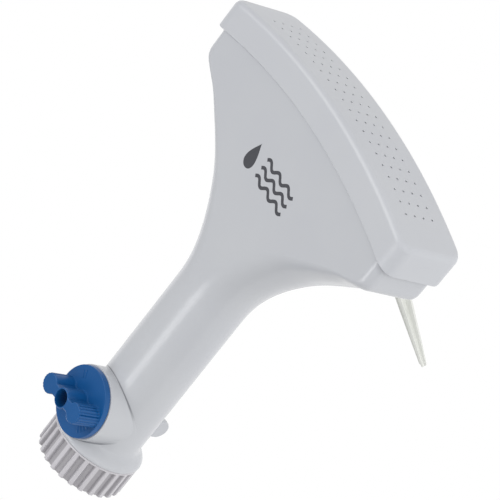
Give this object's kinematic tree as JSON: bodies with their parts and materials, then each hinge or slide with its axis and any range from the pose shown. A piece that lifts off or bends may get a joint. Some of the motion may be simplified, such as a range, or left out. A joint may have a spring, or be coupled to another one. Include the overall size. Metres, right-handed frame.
{
  "type": "garden hose fan nozzle",
  "caption": "Flat fan spray nozzle for a garden hose: perforated curved face, round handle, quarter-turn shut-off knob, swivel hose coupling and fold-out ground spike.",
  "frame": {"origin": "centre of the hose inlet, in the plane of the coupling nut's open end", "axes": "+X along the handle from the hose to the spray face, +Z out of the flat fan on the knob side, +Y to the left seen from the hose with the knob up"},
  "size_m": [0.1766, 0.1314, 0.155],
  "materials": {
    "body_plastic": "satin moulded plastic",
    "face_plastic": "satin moulded plastic",
    "nut_plastic": "fine grained moulded plastic",
    "knob_plastic": "glossy moulded plastic",
    "plug_plastic": "smooth natural acetal",
    "spike_plastic": "natural polypropylene",
    "rubber": "moulded rubber",
    "steel": "bright zinc plated"
  },
  "bodies": {
    "housing": {"body": "body_plastic", "spray_face": "face_plastic", "face_gasket": "rubber", "flow_spreader": "body_plastic", "plug_retainer": "body_plastic", "port_seal": "rubber", "tailpiece": "body_plastic", "tailpiece_o_ring": "rubber", "spike_bracket": "body_plastic", "hinge_pin": "steel", "pin_clip": "steel", "hinge_washers": "rubber", "bracket_screws": "steel"},
    "valve": {"valve_knob": "knob_plastic", "knob_screw": "steel", "valve_plug": "plug_plastic", "upper_o_ring": "rubber", "lower_o_ring": "rubber"},
    "coupling": {"coupling_nut": "nut_plastic", "hose_washer": "rubber", "filter_screen": "plug_plastic"},
    "stake": {"spike": "spike_plastic"}
  },
  "joints": [
    {"name": "valve_turn", "type": "hinge", "parent": "housing", "child": "valve", "pos_m": [0.02863, 0, 0], "axis": [0, 0, 1], "range_deg": [-8, 82]},
    {"name": "coupling_swivel", "type": "hinge", "parent": "housing", "child": "coupling", "pos_m": [0.005, 0, 0], "axis": [1, 0, 0], "continuous": true},
    {"name": "spike_fold", "type": "hinge", "parent": "housing", "child": "stake", "pos_m": [0.1543, 0, -0.0215], "axis": [0, 1, 0], "range_deg": [0, 51.8]}
  ]
}
